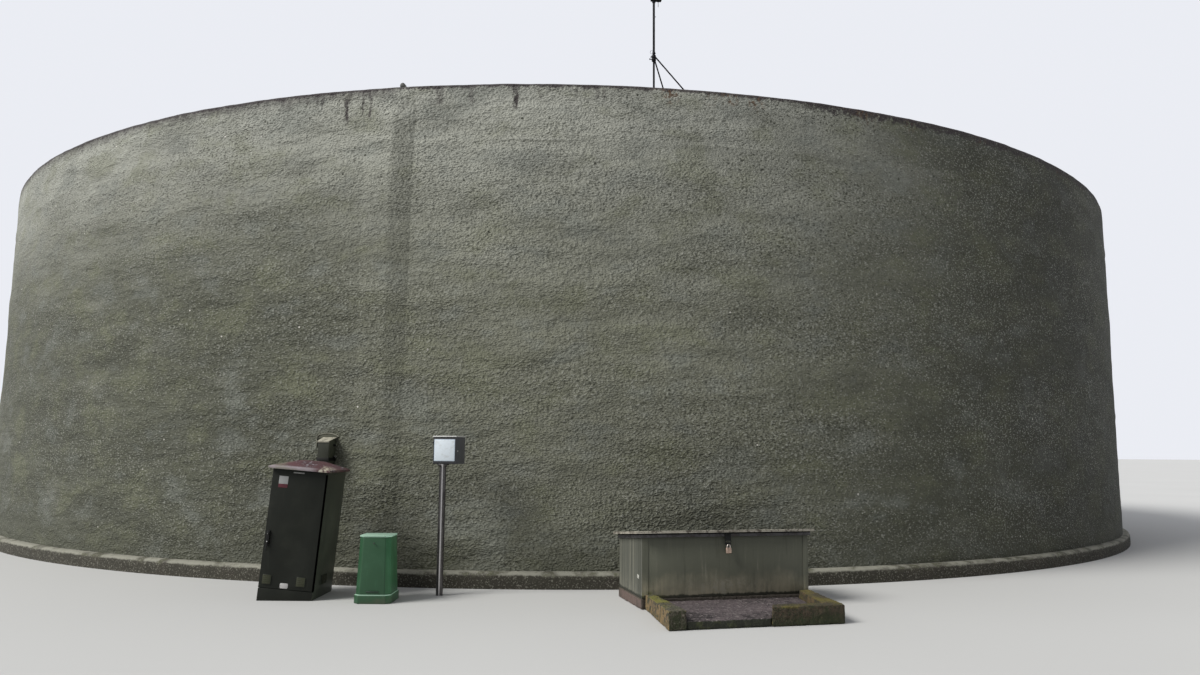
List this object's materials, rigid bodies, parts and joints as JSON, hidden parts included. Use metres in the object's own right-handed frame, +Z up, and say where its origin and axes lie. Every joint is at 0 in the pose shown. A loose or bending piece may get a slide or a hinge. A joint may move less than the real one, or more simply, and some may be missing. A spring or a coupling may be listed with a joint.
{
  "type": "ground-level concrete water tank",
  "caption": "Round ground-level concrete water tank with a sprayed wall, domed roof, roof mast, lidded valve chamber, service cabinet, pillar and sampling post.",
  "frame": {"origin": "on the tank's vertical axis, at the underside of its floor slab", "axes": "+Z up; -Y towards the side with the valve chamber, cabinet and sampling post; +X to the right when that side is faced"},
  "size_m": [25.94, 28.5542, 8.49],
  "materials": {
    "sprayed_wall": "rough sprayed concrete painted a dull grey-green, with dark run-off streaks under the rim",
    "roof_concrete": "weathered float-finished concrete",
    "footing_concrete": "weathered grey concrete, algae-stained",
    "mossy_concrete": "old dark concrete with yellow-green moss and lichen on its upper edges",
    "painted_render": "smooth concrete panels painted grey-green, with pale water stains and a mossy foot",
    "painted_steel": "semi-matt grey-green paint, water-stained",
    "lid_sheet": "weathered pale paint with grime",
    "cabinet_paint": "semi-matt very dark green paint",
    "cabinet_lid_paint": "faded red-brown paint, bleached at the edges",
    "dark_steel": "dark weathered steel",
    "padlock_brass": "dull brass",
    "stainless_steel": "brushed stainless steel",
    "green_plastic": "satin mid-green plastic",
    "pale_green_plastic": "sun-bleached pale green plastic"
  },
  "bodies": {
    "tank": {"ring_footing": "footing_concrete", "floor_slab": "footing_concrete", "wall_segment_01": "sprayed_wall", "wall_segment_02": "sprayed_wall", "wall_segment_03": "sprayed_wall", "wall_segment_04": "sprayed_wall", "wall_segment_05": "sprayed_wall", "wall_segment_06": "sprayed_wall", "wall_segment_07": "sprayed_wall", "wall_segment_08": "sprayed_wall", "wall_segment_09": "sprayed_wall", "wall_segment_10": "sprayed_wall", "wall_segment_11": "sprayed_wall", "wall_segment_12": "sprayed_wall", "ring_beam": "sprayed_wall", "roof_dome": "roof_concrete", "wall_buttress": "sprayed_wall", "rim_fitting": "dark_steel", "mast_pole": "dark_steel", "mast_head": "dark_steel", "mast_rear_brace": "dark_steel", "mast_side_brace": "dark_steel", "wall_box": "painted_steel", "chamber_plinth": "mossy_concrete", "chamber_front_wall": "painted_render", "chamber_rear_wall": "painted_render", "chamber_right_wall": "painted_render", "chamber_left_wall": "painted_render", "apron_slab": "mossy_concrete", "apron_left_kerb": "mossy_concrete", "apron_right_kerb": "mossy_concrete", "cabinet_body": "cabinet_paint", "cabinet_lid": "cabinet_lid_paint", "sampling_post": "stainless_steel", "sampling_box": "dark_steel", "sampling_roof": "stainless_steel", "pillar_skirt": "green_plastic", "pillar_body": "green_plastic", "pillar_cap": "pale_green_plastic"},
    "lid_leaf": {"chamber_lid": "lid_sheet", "chamber_hasp": "dark_steel", "chamber_padlock": "padlock_brass"},
    "cabinet_leaf": {"cabinet_door": "cabinet_paint", "cabinet_latch": "dark_steel"},
    "sampling_leaf": {"sampling_door": "dark_steel"}
  },
  "joints": [
    {"name": "chamber_lid_hinge", "type": "hinge", "parent": "tank", "child": "lid_leaf", "pos_m": [1.57646, -13.28571, 0.7313], "axis": [-0.9778, -0.2096, 0], "range_deg": [0, 90]},
    {"name": "cabinet_door_hinge", "type": "hinge", "parent": "tank", "child": "cabinet_leaf", "pos_m": [-2.84457, -13.85569, 0.72334], "axis": [0.0793, -0.0028, 0.9968], "range_deg": [0, 110]},
    {"name": "sampling_door_hinge", "type": "hinge", "parent": "tank", "child": "sampling_leaf", "pos_m": [-1.63522, -13.44976, 1.706], "axis": [0, 0, -1], "range_deg": [0, 110]}
  ]
}
